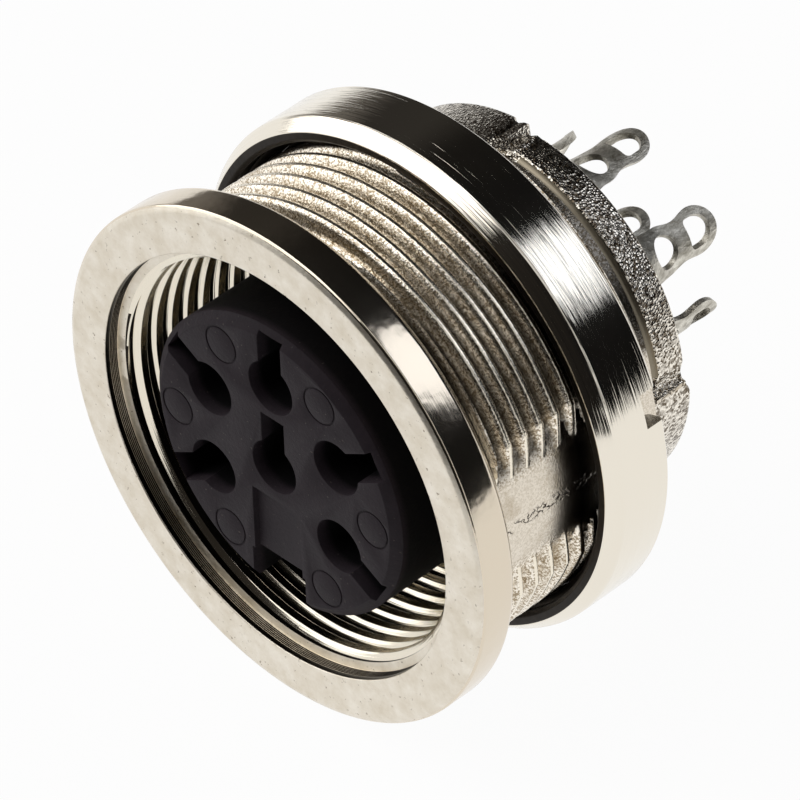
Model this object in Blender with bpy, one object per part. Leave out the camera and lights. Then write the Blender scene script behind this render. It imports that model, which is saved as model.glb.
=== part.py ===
# Panel-mount socket for a round six-pin plug, in metres, +Z up.
# The origin is on the connector's axis, in the plane of the flange's rear face that seats on the panel.
# +Y points to the rear, towards the solder tags, and the plug's key enters at -Z.
# A turn is an angle about the axis, clockwise from +Z as seen from the front.

import math

import bmesh
import bpy
from mathutils import Matrix, Vector

MM = 0.001
FULL_TURN = 2 * math.pi
FACETS = 60
MERGE_DISTANCE = 0.0001 * MM
FLAT_ANGLE = math.radians(0.5)
SHARP_ANGLE = math.radians(30)
THREAD_CORNERS = 3
LOCK_CORNERS = 2

# Clearances between separate pieces
NUT_CLEARANCE = 0.30 * MM
CARRIER_CLEARANCE = 0.20 * MM
SEAT_GAP = 0.15 * MM
RIM_GAP = 0.05 * MM
CONTACT_CLEARANCE = 0.12 * MM
SEAT_CLEARANCE = 0.06 * MM

# Contact carrier
CONTACT_CIRCLE = 3.5 * MM
CONTACT_SPACING = math.radians(60)
CARRIER_MARGIN = 2.39 * MM
CARRIER_RECESS = 0.1 * MM
CARRIER_BEVEL = 0.37 * MM
CARRIER_BEVEL_DEPTH = 0.27 * MM
COLLAR_STEP = 0.56 * MM
COLLAR_LENGTH = 1.3 * MM
HOLE_RADIUS = 1.05 * MM
HOLE_SLOT_WIDTH = 1.1 * MM
HOLE_SLOT_REACH = 2.16 * MM
HOLE_FRONT_WALL = 1.3 * MM
CAVITY_SLOT_WIDTH = 1.3 * MM
CAVITY_SLOT_STEP = 0.06 * MM
HOLE_FACETS = 16
KEYWAY_WIDTH = 2.55 * MM
KEYWAY_HEIGHT = 1.59 * MM
POCKET_TOP = 1.5 * MM
POCKET_DEPTH = 0.25 * MM
EJECTOR_RADIUS = 0.71 * MM
EJECTOR_STEP = 1.2 * MM
EJECTOR_DEPTH = 0.06 * MM
EJECTOR_COUNT = 6

# Housing: front flange
FLANGE_THICKNESS = 1.7 * MM
FLANGE_FRONT_BEVEL = 0.25 * MM
FLANGE_FRONT_BEVEL_DEPTH = 0.13 * MM
FLANGE_REAR_BEVEL = 0.3 * MM
SEAT_WIDTH = 1.14 * MM
SEAT_FILLET = 0.5 * MM
FILLET_STEPS = 3

# Housing: plug bore
PLUG_GAP = 1.76 * MM
MOUTH_STEP = 0.57 * MM
MOUTH_DEPTH = 0.58 * MM
BORE_DEPTH = 8.5 * MM
BULKHEAD_THICKNESS = 1.3 * MM
LOCK_DEPTH = 0.36 * MM
LOCK_PITCH = 0.75 * MM
LOCK_LENGTH = 7.0 * MM
FIRST_LOCK_CREST = -1.04 * MM

# Housing: outer thread
SHELL_WALL = 0.75 * MM
NECK_STEP = 0.06 * MM
NECK_LENGTH = 0.8 * MM
THREAD_DEPTH = 0.46 * MM
THREAD_PITCH = 0.75 * MM
THREAD_CREST = 0.14 * MM
THREAD_LENGTH = 7.6 * MM
THREAD_LEAD = 0.3 * MM
THREAD_MARGIN = 0.06 * MM
FIRST_CREST = 0.676 * MM

# Housing: the smooth stripe along each side, where the two halves of the casting mould part
PARTING_TURN = math.radians(87.5)
PARTING_HALF = math.radians(14.5)
PARTING_RAMP = math.radians(4)

# Housing: rear sleeve
SLEEVE_WALL = 0.45 * MM
SLEEVE_REBATE = 0.3 * MM
SLEEVE_GROOVE = 0.15 * MM
SLEEVE_GROOVE_LENGTH = 0.9 * MM
RIM_LENGTH = 0.4 * MM
RIM_OVERLAP = 0.55 * MM
REBATE_SWEEP = math.radians(87)
STAKE_WIDTH = 1.1 * MM
STAKE_DEPTH = 0.3 * MM

# Ring nut
NUT_THICKNESS = 2.76 * MM
NUT_POSITION = 4.56 * MM
NUT_BEVEL = 0.4 * MM
NUT_BEVEL_DEPTH = 0.5 * MM
NUT_BORE_BEVEL = 0.15 * MM
NUT_EDGE = 0.12 * MM
NOTCH_WIDTH = 1.3 * MM
NOTCH_DEPTH = 0.8 * MM
NOTCH_TURN = math.radians(73)
NOTCH_COUNT = 2

# Rear insulator
INSULATOR_THICKNESS = 1.0 * MM

# Contacts: one strip, stamped flat and then rolled about its length
STRIP = 0.25 * MM
PIN_RADIUS = 0.725 * MM
SEAM = 0.3 * MM
SOCKET_RECESS = 1.9 * MM
SOCKET_LENGTH = 5.4 * MM
TONGUE_LENGTH = 1.3 * MM
TONGUE_WIDTH = 0.7 * MM
TONGUE_RISE = 0.95 * MM
NECK_STRIP_WIDTH = 2.4 * MM
NECK_TAPER = 0.6 * MM
TAG_REACH = 5.8 * MM
TAG_HALF_WIDTH = 0.86 * MM
TAG_WAIST_HALF_WIDTH = 0.74 * MM
TAG_ROOT_HALF_WIDTH = 0.92 * MM
TAG_ROLL = 1.4 * MM
TAG_OFFSET = 0.42 * MM
EYE_RADIUS = 0.55 * MM
EYE_FLAT = 0.45 * MM
EYE_CORNER = 0.08 * MM
ROOT_EYE_RADIUS = 0.58 * MM
ROOT_EYE_PITCH = 1.65 * MM
FLARE_START = 3.0 * MM
FLARE_LENGTH = 1.7 * MM
STRIP_CUTS = 8
TAG_CUTS = 4

# Radii, from the contacts outwards
CARRIER_RADIUS = CONTACT_CIRCLE + CARRIER_MARGIN
COLLAR_RADIUS = CARRIER_RADIUS + COLLAR_STEP
POCKET_RADIUS = COLLAR_RADIUS + CARRIER_CLEARANCE
RIM_RADIUS = POCKET_RADIUS - RIM_OVERLAP
REBATE_RADIUS = POCKET_RADIUS + SLEEVE_WALL
SLEEVE_RADIUS = REBATE_RADIUS + SLEEVE_REBATE
GROOVE_RADIUS = REBATE_RADIUS - SLEEVE_GROOVE
BORE_RADIUS = CARRIER_RADIUS + PLUG_GAP
MOUTH_RADIUS = BORE_RADIUS + MOUTH_STEP
LOCK_ROOT = BORE_RADIUS + LOCK_DEPTH
THREAD_ROOT = BORE_RADIUS + SHELL_WALL
THREAD_RADIUS = THREAD_ROOT + THREAD_DEPTH
NECK_RADIUS = THREAD_ROOT - NECK_STEP
SEAT_INNER_RADIUS = THREAD_RADIUS + SEAT_CLEARANCE
FLANGE_RADIUS = THREAD_RADIUS + SEAT_WIDTH
NUT_RADIUS = FLANGE_RADIUS
NUT_BORE = THREAD_RADIUS + NUT_CLEARANCE
CARRIER_HOLE = CARRIER_RADIUS + CARRIER_CLEARANCE
KEYWAY_FLOOR = CARRIER_RADIUS - KEYWAY_HEIGHT
EJECTOR_CIRCLE = CONTACT_CIRCLE + EJECTOR_STEP
SOCKET_ROLL = PIN_RADIUS + STRIP / 2
CAVITY_RADIUS = SOCKET_ROLL + STRIP / 2 + CONTACT_CLEARANCE
CAVITY_SLOT_REACH = HOLE_SLOT_REACH - CAVITY_SLOT_STEP

# Places along the axis, from the front to the rear
FRONT = -FLANGE_THICKNESS
THREAD_START = NECK_LENGTH
THREAD_END = THREAD_START + THREAD_LENGTH
GROOVE_END = THREAD_END + SLEEVE_GROOVE_LENGTH
BULKHEAD_FRONT = FRONT + BORE_DEPTH
BULKHEAD_REAR = BULKHEAD_FRONT + BULKHEAD_THICKNESS
LOCK_START = FRONT + MOUTH_DEPTH
LOCK_END = LOCK_START + LOCK_LENGTH
COLLAR_FRONT = BULKHEAD_REAR + SEAT_GAP
COLLAR_REAR = COLLAR_FRONT + COLLAR_LENGTH
INSULATOR_FRONT = COLLAR_REAR + SEAT_GAP
INSULATOR_REAR = INSULATOR_FRONT + INSULATOR_THICKNESS
RIM_FRONT = INSULATOR_REAR + RIM_GAP
SLEEVE_END = RIM_FRONT + RIM_LENGTH
NUT_REAR = NUT_POSITION + NUT_THICKNESS
CARRIER_FRONT = FRONT + CARRIER_RECESS
SOCKET_FRONT = CARRIER_FRONT + SOCKET_RECESS
SOCKET_REAR = SOCKET_FRONT + SOCKET_LENGTH
TAG_TIP = INSULATOR_REAR + TAG_REACH
EYE_CENTRE = TAG_TIP - TAG_HALF_WIDTH
ROOT_EYE_CENTRE = EYE_CENTRE - ROOT_EYE_PITCH
FLARE_BEGIN = EYE_CENTRE - FLARE_START

CONTACTS = {
    "contact_top": 0,
    "contact_upper_right": 1,
    "contact_lower_right": 2,
    "contact_upper_left": -1,
    "contact_lower_left": -2,
}

MATERIALS = {
    "nickel_casting": ((0.62, 0.58, 0.50), 0.35, 1.0),
    "nickel_turned": ((0.68, 0.65, 0.58), 0.25, 1.0),
    "black_moulding": ((0.035, 0.030, 0.034), 0.6, 0.0),
    "grey_moulding": ((0.05, 0.05, 0.05), 0.6, 0.0),
    "tinned_strip": ((0.55, 0.54, 0.50), 0.4, 1.0),
}


def clear_scene():
    for item in list(bpy.data.objects):
        bpy.data.objects.remove(item, do_unlink=True)


def material(name):
    colour, roughness, metallic = MATERIALS[name]
    made = bpy.data.materials.get(name)
    if made:
        return made
    made = bpy.data.materials.new(name)
    made.use_nodes = True
    shader = made.node_tree.nodes["Principled BSDF"]
    shader.inputs["Base Color"].default_value = (*colour, 1.0)
    shader.inputs["Roughness"].default_value = roughness
    shader.inputs["Metallic"].default_value = metallic
    return made


def ring_point(radius, turn, y):
    return Vector((radius * math.sin(turn), y, radius * math.cos(turn)))


def finish(solid, name, finish_name=None):
    bmesh.ops.remove_doubles(solid, verts=solid.verts, dist=MERGE_DISTANCE)
    bmesh.ops.recalc_face_normals(solid, faces=solid.faces)
    mesh = bpy.data.meshes.new(name)
    solid.to_mesh(mesh)
    solid.free()
    made = bpy.data.objects.new(name, mesh)
    bpy.context.collection.objects.link(made)
    if finish_name:
        mesh.materials.append(material(finish_name))
    return made


def turned(name, profile, finish_name=None):
    # A closed profile of (radius, y) corners, spun once about the axis.
    solid = bmesh.new()
    corners = [solid.verts.new(ring_point(radius, 0.0, y)) for radius, y in profile]
    edges = []
    for first, second in zip(corners, corners[1:] + corners[:1]):
        on_axis = abs(first.co.z) < MERGE_DISTANCE and abs(second.co.z) < MERGE_DISTANCE
        if not on_axis:
            edges.append(solid.edges.new((first, second)))
    bmesh.ops.spin(
        solid, geom=corners + edges, cent=(0, 0, 0), axis=(0, 1, 0),
        angle=FULL_TURN, steps=FACETS, use_merge=True,
    )
    bmesh.ops.remove_doubles(solid, verts=solid.verts, dist=MERGE_DISTANCE)
    centres = [corner for corner in solid.verts if math.hypot(corner.co.x, corner.co.z) < MERGE_DISTANCE]
    bmesh.ops.dissolve_verts(solid, verts=centres)
    return finish(solid, name, finish_name)


def sector(name, profile, start, sweep):
    # The same profile spun through a part of a turn, with flat ends.
    solid = bmesh.new()
    corners = [solid.verts.new(ring_point(radius, start, y)) for radius, y in profile]
    face = solid.faces.new(corners)
    steps = max(2, round(FACETS * sweep / FULL_TURN))
    bmesh.ops.spin(
        solid, geom=[face] + list(face.edges) + corners, cent=(0, 0, 0), axis=(0, 1, 0),
        angle=sweep, steps=steps,
    )
    return finish(solid, name)


def prisms(name, outlines, low, high):
    # Closed (x, z) outlines extruded from y = low to y = high, all in one object.
    solid = bmesh.new()
    for outline in outlines:
        face = solid.faces.new([solid.verts.new((x, low, z)) for x, z in outline])
        raised = bmesh.ops.extrude_face_region(solid, geom=[face])["geom"]
        moved = [item for item in raised if isinstance(item, bmesh.types.BMVert)]
        bmesh.ops.translate(solid, verts=moved, vec=(0, high - low, 0))
    return finish(solid, name)


def shape(target, tool, operation="DIFFERENCE"):
    modifier = target.modifiers.new("shape", "BOOLEAN")
    modifier.operation = operation
    modifier.solver = "EXACT"
    modifier.object = tool
    graph = bpy.context.evaluated_depsgraph_get()
    shaped = bpy.data.meshes.new_from_object(target.evaluated_get(graph))
    target.modifiers.clear()
    target.data = shaped
    bpy.data.objects.remove(tool, do_unlink=True)


def smooth(target):
    target.data.shade_smooth()
    target.data.set_sharp_from_angle(angle=SHARP_ANGLE)


def ease(value):
    value = min(max(value, 0.0), 1.0)
    return value * value * (3 - 2 * value)


def turn_outline(outline, turn):
    # Turns (x, z) points clockwise about the axis, as seen from the front.
    cosine, sine = math.cos(turn), math.sin(turn)
    return [(x * cosine + z * sine, z * cosine - x * sine) for x, z in outline]


def box_outline(half_width, low, high):
    return [(-half_width, low), (half_width, low), (half_width, high), (-half_width, high)]


# Housing

def housing_rear_profile():
    # From the thread's rear end over the sleeve and its rim, then through the pocket to the plug bore.
    return [
        (THREAD_ROOT, THREAD_END),
        (GROOVE_RADIUS, THREAD_END),
        (GROOVE_RADIUS, GROOVE_END),
        (SLEEVE_RADIUS, GROOVE_END),
        (SLEEVE_RADIUS, SLEEVE_END),
        (RIM_RADIUS, SLEEVE_END),
        (RIM_RADIUS, RIM_FRONT),
        (POCKET_RADIUS, RIM_FRONT),
        (POCKET_RADIUS, BULKHEAD_REAR),
        (CARRIER_HOLE, BULKHEAD_REAR),
        (CARRIER_HOLE, BULKHEAD_FRONT),
        (LOCK_ROOT, BULKHEAD_FRONT),
        (LOCK_ROOT, LOCK_END),
    ]


def seat_fillet():
    # A hollow corner inside the panel's hole, so that the panel lies flat on the flange.
    width = SEAT_INNER_RADIUS - NECK_RADIUS
    corners = []
    for step in range(1, FILLET_STEPS + 1):
        angle = math.pi / 2 * step / FILLET_STEPS
        corners.append((SEAT_INNER_RADIUS - width * math.sin(angle), SEAT_FILLET * (1 - math.cos(angle))))
    return corners


def housing_front_profile():
    # From the locking thread's front end out of the bore's mouth, and over the flange to the outer thread.
    return [
        (LOCK_ROOT, LOCK_START),
        (MOUTH_RADIUS, LOCK_START),
        (MOUTH_RADIUS, FRONT),
        (FLANGE_RADIUS - FLANGE_FRONT_BEVEL, FRONT),
        (FLANGE_RADIUS, FRONT + FLANGE_FRONT_BEVEL_DEPTH),
        (FLANGE_RADIUS, -FLANGE_REAR_BEVEL),
        (FLANGE_RADIUS - FLANGE_REAR_BEVEL, 0.0),
        (SEAT_INNER_RADIUS, 0.0),
        *seat_fillet(),
        (NECK_RADIUS, THREAD_START),
    ]


def thread_limit(turn, y):
    # The lead at each end and the smooth stripe along each side keep the thread below its full height.
    from_end = min(y - THREAD_START, THREAD_END - y)
    from_parting = abs((turn - PARTING_TURN + math.pi / 2) % math.pi - math.pi / 2)
    share = min(from_end / THREAD_LEAD, ease((from_parting - PARTING_HALF) / PARTING_RAMP), 1.0)
    return THREAD_ROOT + THREAD_DEPTH * share


def thread_points(turn):
    # Numbered points where the right-hand thread crosses this turn: crest front, crest rear, root.
    offsets = (0.0, THREAD_CREST, (THREAD_PITCH + THREAD_CREST) / 2)
    points = {}
    for number in range(THREAD_CORNERS * math.ceil(THREAD_LENGTH / THREAD_PITCH + 2)):
        coil, place = divmod(number, THREAD_CORNERS)
        y = FIRST_CREST + THREAD_PITCH * (coil - 1 + turn / FULL_TURN) + offsets[place]
        if THREAD_START + THREAD_MARGIN < y < THREAD_END - THREAD_MARGIN:
            height = THREAD_ROOT if place == THREAD_CORNERS - 1 else THREAD_RADIUS
            points[number] = (min(height, thread_limit(turn, y)), y)
    return points


def lock_points(turn):
    # The same for the locking thread in the plug bore, from its rear end to its front: crest, root.
    points = {}
    for number in range(LOCK_CORNERS * math.ceil(LOCK_LENGTH / LOCK_PITCH + 2)):
        coil, place = divmod(number, LOCK_CORNERS)
        y = FIRST_LOCK_CREST + LOCK_PITCH * (coil - 1 + place / LOCK_CORNERS + turn / FULL_TURN)
        if LOCK_START + THREAD_MARGIN < y < LOCK_END - THREAD_MARGIN:
            share = min(1.0, (y - LOCK_START) / THREAD_LEAD, (LOCK_END - y) / THREAD_LEAD)
            points[-number] = (LOCK_ROOT if place else LOCK_ROOT - LOCK_DEPTH * share, y)
    return dict(sorted(points.items()))


def zip_columns(solid, here, ahead):
    # Faces between two columns of numbered corners; a number that only one column has makes a triangle.
    first, second = 0, 0
    while first < len(here) - 1 or second < len(ahead) - 1:
        here_next = here[first + 1][0] if first < len(here) - 1 else math.inf
        ahead_next = ahead[second + 1][0] if second < len(ahead) - 1 else math.inf
        corners = [here[first][1], ahead[second][1]]
        if ahead_next <= here_next:
            second += 1
            corners.append(ahead[second][1])
        if here_next <= ahead_next:
            first += 1
            corners.append(here[first][1])
        solid.faces.new(corners)


def zip_threads(solid, here, ahead, stretch, shift):
    # One thread's stretch of two columns, from the last corner before it to the first one after it.
    sides = []
    for column, moved in ((here, 0), (ahead, shift)):
        numbered = [(number - moved, corner) for number, corner in column[stretch]]
        before = column[stretch - 1][-1][1]
        after = column[(stretch + 1) % len(column)][0][1]
        sides.append([(-math.inf, before)] + numbered + [(math.inf, after)])
    zip_columns(solid, *sides)


def threaded_body():
    # Columns of corners all round: rear profile, locking thread, front profile, outer thread.
    rear, front = housing_rear_profile(), housing_front_profile()
    solid = bmesh.new()
    columns = []
    for index in range(FACETS):
        turn = FULL_TURN * index / FACETS
        column = []
        for points in (dict(enumerate(rear)), lock_points(turn), dict(enumerate(front)), thread_points(turn)):
            corners = {number: ring_point(radius, turn, y) for number, (radius, y) in points.items()}
            column.append([(number, solid.verts.new(corner)) for number, corner in corners.items()])
        columns.append(column)
    for here, ahead in zip(columns, columns[1:] + columns[:1]):
        full_turn = ahead is columns[0]
        zip_columns(solid, here[0], ahead[0])
        zip_threads(solid, here, ahead, 1, -LOCK_CORNERS if full_turn else 0)
        zip_columns(solid, here[2], ahead[2])
        zip_threads(solid, here, ahead, 3, THREAD_CORNERS if full_turn else 0)
    bmesh.ops.triangulate(solid, faces=solid.faces)
    return finish(solid, "housing", "nickel_casting")


def sleeve_rebate(start):
    outer = SLEEVE_RADIUS + SLEEVE_REBATE
    front = GROOVE_END - SLEEVE_REBATE
    rear = SLEEVE_END + SLEEVE_REBATE
    profile = [(REBATE_RADIUS, front), (outer, front), (outer, rear), (REBATE_RADIUS, rear)]
    return sector("sleeve_rebate", profile, start, REBATE_SWEEP)


def staking_marks():
    outlines = []
    for start in (0.0, REBATE_SWEEP, math.pi, math.pi + REBATE_SWEEP):
        outline = box_outline(STAKE_WIDTH / 2, RIM_RADIUS - RIM_OVERLAP, SLEEVE_RADIUS + SLEEVE_REBATE)
        outlines.append(turn_outline(outline, start))
    return prisms("staking_marks", outlines, SLEEVE_END - STAKE_DEPTH, SLEEVE_END + STAKE_DEPTH)


def make_housing():
    housing = threaded_body()
    for start in (0.0, math.pi):
        shape(housing, sleeve_rebate(start))
    shape(housing, staking_marks())
    smooth(housing)


# Ring nut

def make_ring_nut():
    bevel_edge = NUT_RADIUS - NUT_BEVEL
    bore_edge = NUT_BORE + NUT_BORE_BEVEL
    profile = [
        (bore_edge, NUT_POSITION),
        (bevel_edge, NUT_POSITION),
        (NUT_RADIUS, NUT_POSITION + NUT_BEVEL_DEPTH),
        (NUT_RADIUS, NUT_REAR - NUT_EDGE),
        (NUT_RADIUS - NUT_EDGE, NUT_REAR),
        (NUT_BORE + NUT_EDGE, NUT_REAR),
        (NUT_BORE, NUT_REAR - NUT_EDGE),
        (NUT_BORE, NUT_POSITION + NUT_BORE_BEVEL),
    ]
    nut = turned("ring_nut", profile, "nickel_turned")
    outline = box_outline(NOTCH_WIDTH / 2, THREAD_RADIUS, NUT_RADIUS + NOTCH_WIDTH)
    turns = [NOTCH_TURN + FULL_TURN * index / NOTCH_COUNT for index in range(NOTCH_COUNT)]
    outlines = [turn_outline(outline, turn) for turn in turns]
    shape(nut, prisms("notches", outlines, NUT_REAR - NOTCH_DEPTH, NUT_REAR + NOTCH_DEPTH))
    smooth(nut)


# Contact carrier and rear insulator

def contact_places():
    # Each contact's name, its centre in x and z, and the turn of its outward slot.
    places = [("contact_centre", 0.0, 0.0, 0.0)]
    for name, position in CONTACTS.items():
        turn = position * CONTACT_SPACING
        centre = ring_point(CONTACT_CIRCLE, turn, 0.0)
        places.append((name, centre.x, centre.z, turn))
    return places


def keyhole(radius, slot_width, slot_reach, centre_x, centre_z, turn):
    half = slot_width / 2
    opening = math.asin(half / radius)
    outline = []
    for index in range(HOLE_FACETS + 1):
        angle = opening + (FULL_TURN - 2 * opening) * index / HOLE_FACETS
        outline.append((radius * math.sin(angle), radius * math.cos(angle)))
    outline += [(-half, slot_reach), (half, slot_reach)]
    return [(centre_x + x, centre_z + z) for x, z in turn_outline(outline, turn)]


def keyway():
    # A deep groove along the carrier's underside, with a shallow pocket above it in the front face.
    front = CARRIER_FRONT - POCKET_DEPTH
    bottom = -CARRIER_RADIUS - POCKET_DEPTH
    profile = [
        (front, bottom),
        (front, -POCKET_TOP),
        (CARRIER_FRONT + POCKET_DEPTH, -POCKET_TOP),
        (CARRIER_FRONT + POCKET_DEPTH, -KEYWAY_FLOOR),
        (BULKHEAD_FRONT, -KEYWAY_FLOOR),
        (BULKHEAD_FRONT, bottom),
    ]
    solid = bmesh.new()
    face = solid.faces.new([solid.verts.new((-KEYWAY_WIDTH / 2, y, z)) for y, z in profile])
    raised = bmesh.ops.extrude_face_region(solid, geom=[face])["geom"]
    moved = [item for item in raised if isinstance(item, bmesh.types.BMVert)]
    bmesh.ops.translate(solid, verts=moved, vec=(KEYWAY_WIDTH, 0, 0))
    return finish(solid, "keyway")


def circle_outline(radius, centre_x, centre_z):
    angles = [FULL_TURN * index / HOLE_FACETS for index in range(HOLE_FACETS)]
    return [(centre_x + radius * math.sin(angle), centre_z + radius * math.cos(angle)) for angle in angles]


def ejector_marks():
    outlines = []
    for index in range(EJECTOR_COUNT):
        centre = ring_point(EJECTOR_CIRCLE, FULL_TURN * (index + 0.5) / EJECTOR_COUNT, 0.0)
        outlines.append(circle_outline(EJECTOR_RADIUS, centre.x, centre.z))
    return prisms("ejector_marks", outlines, CARRIER_FRONT - EJECTOR_DEPTH, CARRIER_FRONT + EJECTOR_DEPTH)


def make_contact_carrier():
    profile = [
        (0.0, CARRIER_FRONT),
        (CARRIER_RADIUS - CARRIER_BEVEL, CARRIER_FRONT),
        (CARRIER_RADIUS, CARRIER_FRONT + CARRIER_BEVEL_DEPTH),
        (CARRIER_RADIUS, COLLAR_FRONT),
        (COLLAR_RADIUS, COLLAR_FRONT),
        (COLLAR_RADIUS, COLLAR_REAR),
        (0.0, COLLAR_REAR),
    ]
    carrier = turned("contact_carrier", profile, "black_moulding")
    places = contact_places()
    wall = CARRIER_FRONT + HOLE_FRONT_WALL
    mouth = (HOLE_RADIUS, HOLE_SLOT_WIDTH, HOLE_SLOT_REACH)
    mouths = [keyhole(*mouth, x, z, turn) for name, x, z, turn in places]
    shape(carrier, prisms("mouths", mouths, CARRIER_FRONT - HOLE_FRONT_WALL, wall + SEAT_GAP))
    cavity = (CAVITY_RADIUS, CAVITY_SLOT_WIDTH, CAVITY_SLOT_REACH)
    cavities = [keyhole(*cavity, x, z, turn) for name, x, z, turn in places]
    shape(carrier, prisms("cavities", cavities, wall, COLLAR_REAR + HOLE_FRONT_WALL))
    shape(carrier, keyway())
    shape(carrier, ejector_marks())
    smooth(carrier)


def make_rear_insulator():
    profile = [
        (0.0, INSULATOR_FRONT),
        (COLLAR_RADIUS, INSULATOR_FRONT),
        (COLLAR_RADIUS, INSULATOR_REAR),
        (0.0, INSULATOR_REAR),
    ]
    insulator = turned("rear_insulator", profile, "grey_moulding")
    holes = [circle_outline(CAVITY_RADIUS, x, z) for name, x, z, turn in contact_places()]
    shape(insulator, prisms("holes", holes, INSULATOR_FRONT - STRIP, INSULATOR_REAR + STRIP))
    smooth(insulator)


# Contacts

def blank_outline():
    # The flat strip's right edge from front to rear, the round tip, and the left edge back.
    socket_half = math.pi * SOCKET_ROLL - SEAM / 2
    neck_half = NECK_STRIP_WIDTH / 2
    right = [
        (TONGUE_WIDTH / 2, SOCKET_FRONT - TONGUE_LENGTH),
        (TONGUE_WIDTH / 2, SOCKET_FRONT),
        (socket_half, SOCKET_FRONT),
        (socket_half, SOCKET_REAR),
        (neck_half, SOCKET_REAR + NECK_TAPER),
        (neck_half, FLARE_BEGIN),
        (TAG_ROOT_HALF_WIDTH, ROOT_EYE_CENTRE),
        (TAG_WAIST_HALF_WIDTH, (ROOT_EYE_CENTRE + EYE_CENTRE) / 2),
    ]
    tip = []
    for index in range(HOLE_FACETS + 1):
        angle = math.pi * index / HOLE_FACETS
        tip.append((TAG_HALF_WIDTH * math.cos(angle), EYE_CENTRE + TAG_HALF_WIDTH * math.sin(angle)))
    left = [(-across, along) for across, along in reversed(right)]
    return right + tip + left


def eye_outlines():
    root = []
    for index in range(HOLE_FACETS):
        angle = FULL_TURN * index / HOLE_FACETS
        across, along = ROOT_EYE_RADIUS * math.cos(angle), ROOT_EYE_RADIUS * math.sin(angle)
        root.append((across, ROOT_EYE_CENTRE + along))
    flat_half = EYE_RADIUS - EYE_CORNER
    tip = [(-flat_half, EYE_CENTRE - EYE_FLAT), (flat_half, EYE_CENTRE - EYE_FLAT)]
    for index in range(HOLE_FACETS // 2 + 1):
        angle = math.pi * index / (HOLE_FACETS // 2)
        tip.append((EYE_RADIUS * math.cos(angle), EYE_CENTRE + EYE_RADIUS * math.sin(angle)))
    return [root, tip]


def roll_point(point):
    # Bends the flat strip, across in x and thickness in z, round its own length.
    flare = ease((point.y - FLARE_BEGIN) / FLARE_LENGTH)
    roll = SOCKET_ROLL + (TAG_ROLL - SOCKET_ROLL) * flare
    back = SOCKET_ROLL + (TAG_OFFSET - SOCKET_ROLL) * flare
    back += TONGUE_RISE * ease((SOCKET_FRONT - point.y) / TONGUE_LENGTH)
    angle = point.x / roll
    radius = roll + point.z
    return Vector((radius * math.sin(angle), point.y, back - roll + radius * math.cos(angle)))


def cut_lines(solid, origin, direction):
    everything = list(solid.verts) + list(solid.edges) + list(solid.faces)
    bmesh.ops.bisect_plane(solid, geom=everything, dist=MERGE_DISTANCE, plane_co=origin, plane_no=direction)


def contact_mesh():
    solid = bmesh.new()
    for outline in [blank_outline()] + eye_outlines():
        corners = [solid.verts.new((across, along, -STRIP / 2)) for across, along in outline]
        for first, second in zip(corners, corners[1:] + corners[:1]):
            solid.edges.new((first, second))
    bmesh.ops.triangle_fill(solid, edges=solid.edges, use_beauty=True)
    bmesh.ops.dissolve_limit(solid, angle_limit=FLAT_ANGLE, verts=solid.verts, edges=solid.edges)
    half = math.pi * SOCKET_ROLL
    for index in range(1, STRIP_CUTS):
        across = half * (2 * index / STRIP_CUTS - 1)
        cut_lines(solid, (across, 0, 0), (1, 0, 0))
    for index in range(TAG_CUTS + 1):
        cut_lines(solid, (0, FLARE_BEGIN + FLARE_LENGTH * index / TAG_CUTS, 0), (0, 1, 0))
        cut_lines(solid, (0, SOCKET_FRONT - TONGUE_LENGTH * index / TAG_CUTS, 0), (0, 1, 0))
    raised = bmesh.ops.extrude_face_region(solid, geom=solid.faces)["geom"]
    moved = [item for item in raised if isinstance(item, bmesh.types.BMVert)]
    bmesh.ops.translate(solid, verts=moved, vec=(0, 0, STRIP))
    bmesh.ops.triangulate(solid, faces=solid.faces)
    for corner in solid.verts:
        corner.co = roll_point(corner.co)
    made = finish(solid, "contact_pattern", "tinned_strip")
    smooth(made)
    mesh = made.data
    bpy.data.objects.remove(made, do_unlink=True)
    return mesh


def make_contacts():
    mesh = contact_mesh()
    for name, x, z, turn in contact_places():
        contact = bpy.data.objects.new(name, mesh)
        bpy.context.collection.objects.link(contact)
        contact.matrix_world = Matrix.Translation((x, 0, z)) @ Matrix.Rotation(turn, 4, "Y")


clear_scene()
make_housing()
make_ring_nut()
make_contact_carrier()
make_rear_insulator()
make_contacts()
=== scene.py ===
import math

import bmesh
import bpy
from mathutils import Matrix, Vector, noise


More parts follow.
